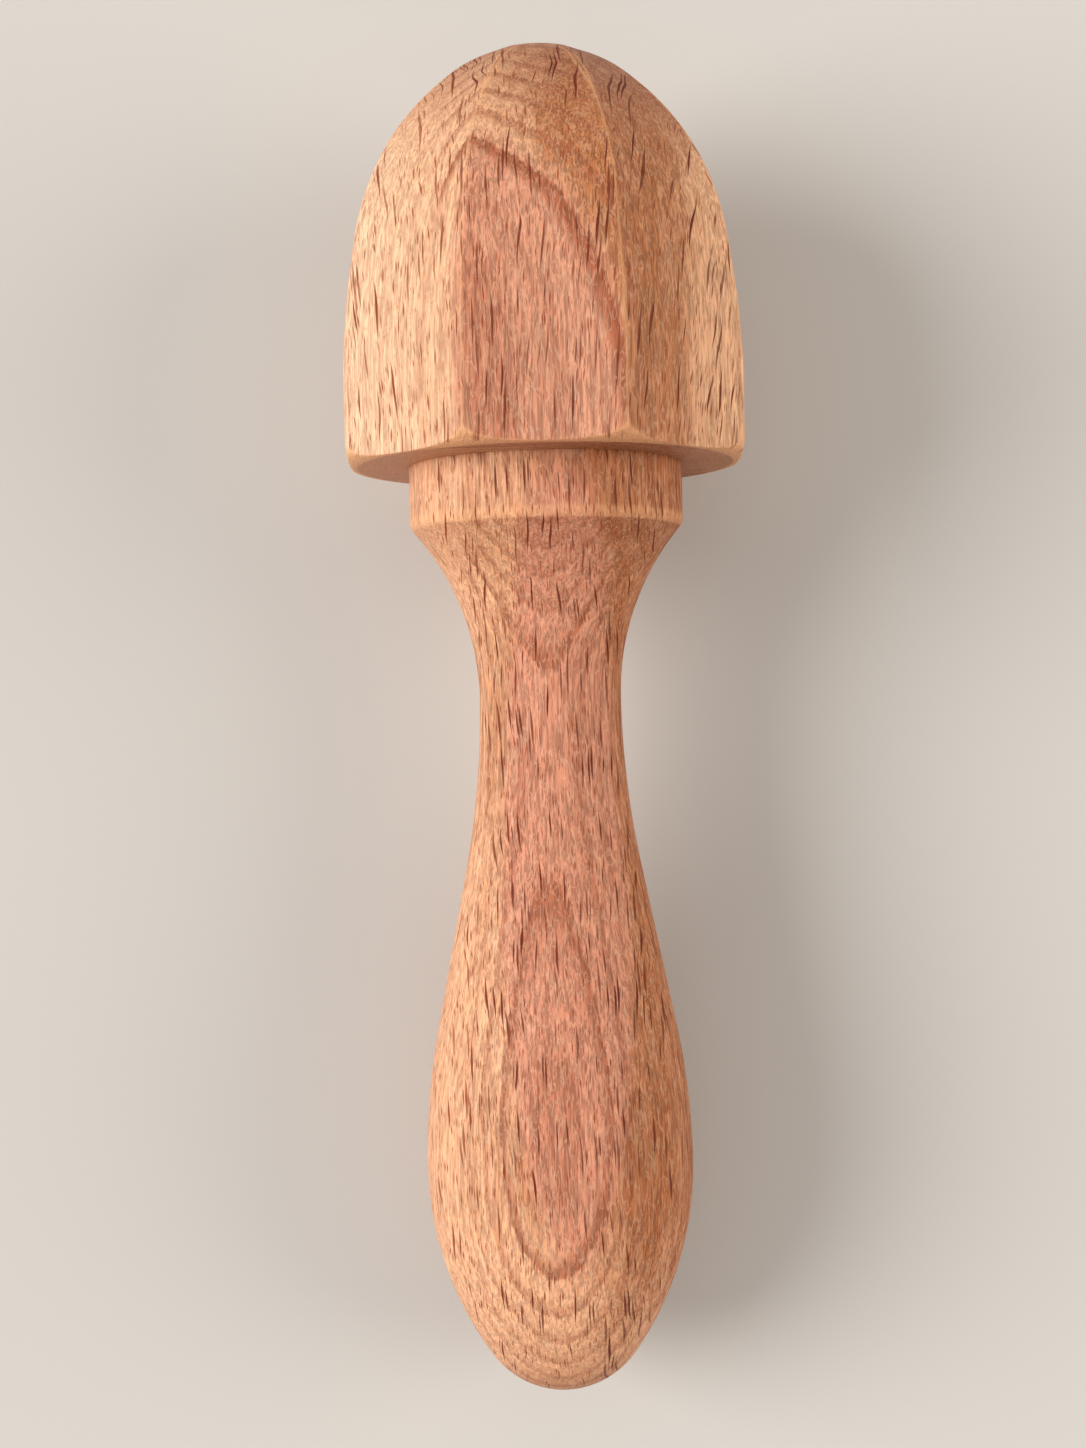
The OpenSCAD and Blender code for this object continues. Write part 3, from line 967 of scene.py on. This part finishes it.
def hang_lamps(s):
    """A wide soft light from each side, as far away as a sun, so that the whole floor is lit alike."""
    # Each light's name, the direction that it comes from, its power and its tint
    lights = (
        ("left_light", (-0.7, 0.02, 0.47), s.left, (1.0, 0.96, 0.92)),
        ("right_light", (0.72, 0.0, 0.4), s.right, (1.0, 0.87, 0.74)),
    )
    for name, comes_from, power, tint in lights:
        light = bpy.data.lights.new(name, "SUN")
        light.angle = s.softness
        light.energy = power
        light.color = tint
        lamp = bpy.data.objects.new(name, light)
        lamp.rotation_euler = Vector(comes_from).to_track_quat("Z", "Y").to_euler()
        bpy.context.scene.collection.objects.link(lamp)


def light_sky(scene, s):
    """Even light from all round. A camera that looks past the floor sees a pale background."""
    # Strength of that background, where 1 is white
    background = 0.86
    world = bpy.data.worlds.new("sky")
    scene.world = world
    world.use_nodes = True
    w = Wiring(world.node_tree)
    backdrop = world.node_tree.nodes["Background"]
    backdrop.inputs["Color"].default_value = (1.0, 0.985, 0.965, 1.0)
    seen = w.add("ShaderNodeLightPath").outputs["Is Camera Ray"]
    w.feed(backdrop.inputs["Strength"], w.mix(seen, s.sky, background))


def set_camera(scene):
    """The photograph's view: square to the tool's axis, over the handle's neck."""
    # Place of the lens on the upright tool, the view's focal length in pixels, and its roll
    lens_at = Vector((-0.98, -263.0, -31.9)) * MM
    focal_px = 2120
    roll = -0.022
    sensor = 36
    data = bpy.data.cameras.new("camera")
    data.sensor_fit = "VERTICAL"
    data.sensor_height = sensor
    data.sensor_width = sensor
    data.lens = focal_px / PHOTO_HEIGHT * sensor
    # Nearest and farthest distance that it sees, in metres
    data.clip_start = 0.01
    data.clip_end = 20
    camera = bpy.data.objects.new("camera", data)
    # Upright, the camera looks along the second axis, with the tool's tip up
    looks = Matrix.Rotation(math.pi / 2, 4, "X") @ Matrix.Rotation(roll, 4, "Z")
    camera.matrix_world = LAID @ Matrix.Translation(lens_at) @ looks
    scene.collection.objects.link(camera)
    scene.camera = camera


class ReamerPanel(bpy.types.Panel):
    """Lists the tool's pieces and their sizes"""
    bl_idname = "VIEW3D_PT_reamer"
    bl_label = "Beech Citrus Reamer"
    bl_space_type = "VIEW_3D"
    bl_region_type = "UI"
    bl_category = "Reamer"

    def draw(self, context):
        for operator, group in STEPS:
            box = self.layout.box()
            box.operator(operator.bl_idname)
            settings = getattr(context.scene, group)
            for name in settings.__annotations__:
                box.prop(settings, name)


STEPS = (
    (MakeReamerHead, "reamer_head"),
    (MakeReamerHandle, "reamer_handle"),
    (FinishReamerDowel, "reamer_joint"),
    (SetReamerStage, "reamer_stage"),
)
GROUPS = {
    "reamer_head": ReamerHeadSizes,
    "reamer_handle": ReamerHandleSizes,
    "reamer_joint": ReamerDowelSizes,
    "reamer_beech": ReamerBeech,
    "reamer_stage": ReamerStage,
}


def register():
    for name, group in GROUPS.items():
        bpy.utils.register_class(group)
        setattr(bpy.types.Scene, name, bpy.props.PointerProperty(type=group))
    for operator, _ in STEPS:
        bpy.utils.register_class(operator)
    bpy.utils.register_class(ReamerPanel)


def unregister():
    bpy.utils.unregister_class(ReamerPanel)
    for operator, _ in STEPS:
        bpy.utils.unregister_class(operator)
    for name, group in GROUPS.items():
        delattr(bpy.types.Scene, name)
        bpy.utils.unregister_class(group)


def main():
    register()
    bpy.ops.reamer.set_stage()
    bpy.ops.reamer.make_head()
    bpy.ops.reamer.make_handle()
    bpy.ops.reamer.finish_dowel()


if __name__ == "__main__":
    main()
